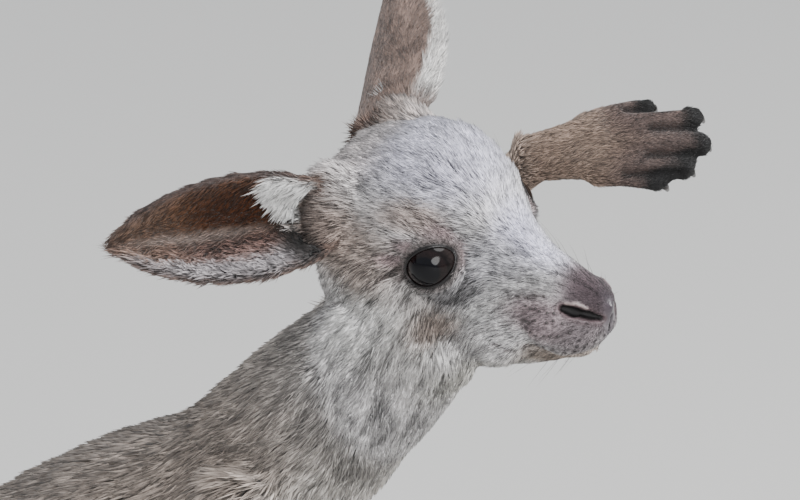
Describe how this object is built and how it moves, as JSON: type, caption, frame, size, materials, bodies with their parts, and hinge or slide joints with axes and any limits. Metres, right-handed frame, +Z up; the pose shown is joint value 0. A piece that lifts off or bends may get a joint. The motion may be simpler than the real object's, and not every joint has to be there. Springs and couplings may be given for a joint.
{
  "type": "young grey kangaroo",
  "caption": "Young grey kangaroo at life size, standing on its hind feet and tail, head turned and one forepaw raised.",
  "frame": {"origin": "on the floor, at the middle of the bounding box's underside", "axes": "+X the way the body faces, +Y its left side, +Z up"},
  "size_m": [0.5906, 0.1852, 0.4631],
  "materials": {
    "coat": "short dense fur, grey-brown on the back, paler below",
    "dark_coat": "short blackish-brown fur",
    "eye": "wet and glossy, dark brown",
    "claw": "smooth dark horn"
  },
  "bodies": {
    "root": {"head": "coat", "neck": "coat", "trunk": "coat", "tail_root": "coat", "tail_middle": "coat", "tail_tip": "coat", "thigh_right": "coat", "shank_right": "coat", "foot_right": "coat", "upper_arm_right": "coat", "forearm_right": "coat", "ear_right": "coat", "thigh_left": "coat", "shank_left": "coat", "foot_left": "coat", "upper_arm_left": "coat", "forearm_left": "coat", "ear_left": "coat", "forepaw_right": "dark_coat", "toes_right": "dark_coat", "forepaw_left": "dark_coat", "toes_left": "dark_coat", "eye_right": "eye", "eye_left": "eye", "claw_right_1": "claw", "claw_right_2": "claw", "claw_right_3": "claw", "claw_right_4": "claw", "claw_right_5": "claw", "claw_left_1": "claw", "claw_left_2": "claw", "claw_left_3": "claw", "claw_left_4": "claw", "claw_left_5": "claw", "toe_claw_right_fourth": "claw", "toe_claw_right_fifth": "claw", "toe_claw_right_third": "claw", "toe_claw_left_fourth": "claw", "toe_claw_left_fifth": "claw", "toe_claw_left_third": "claw"}
  },
  "joints": []
}
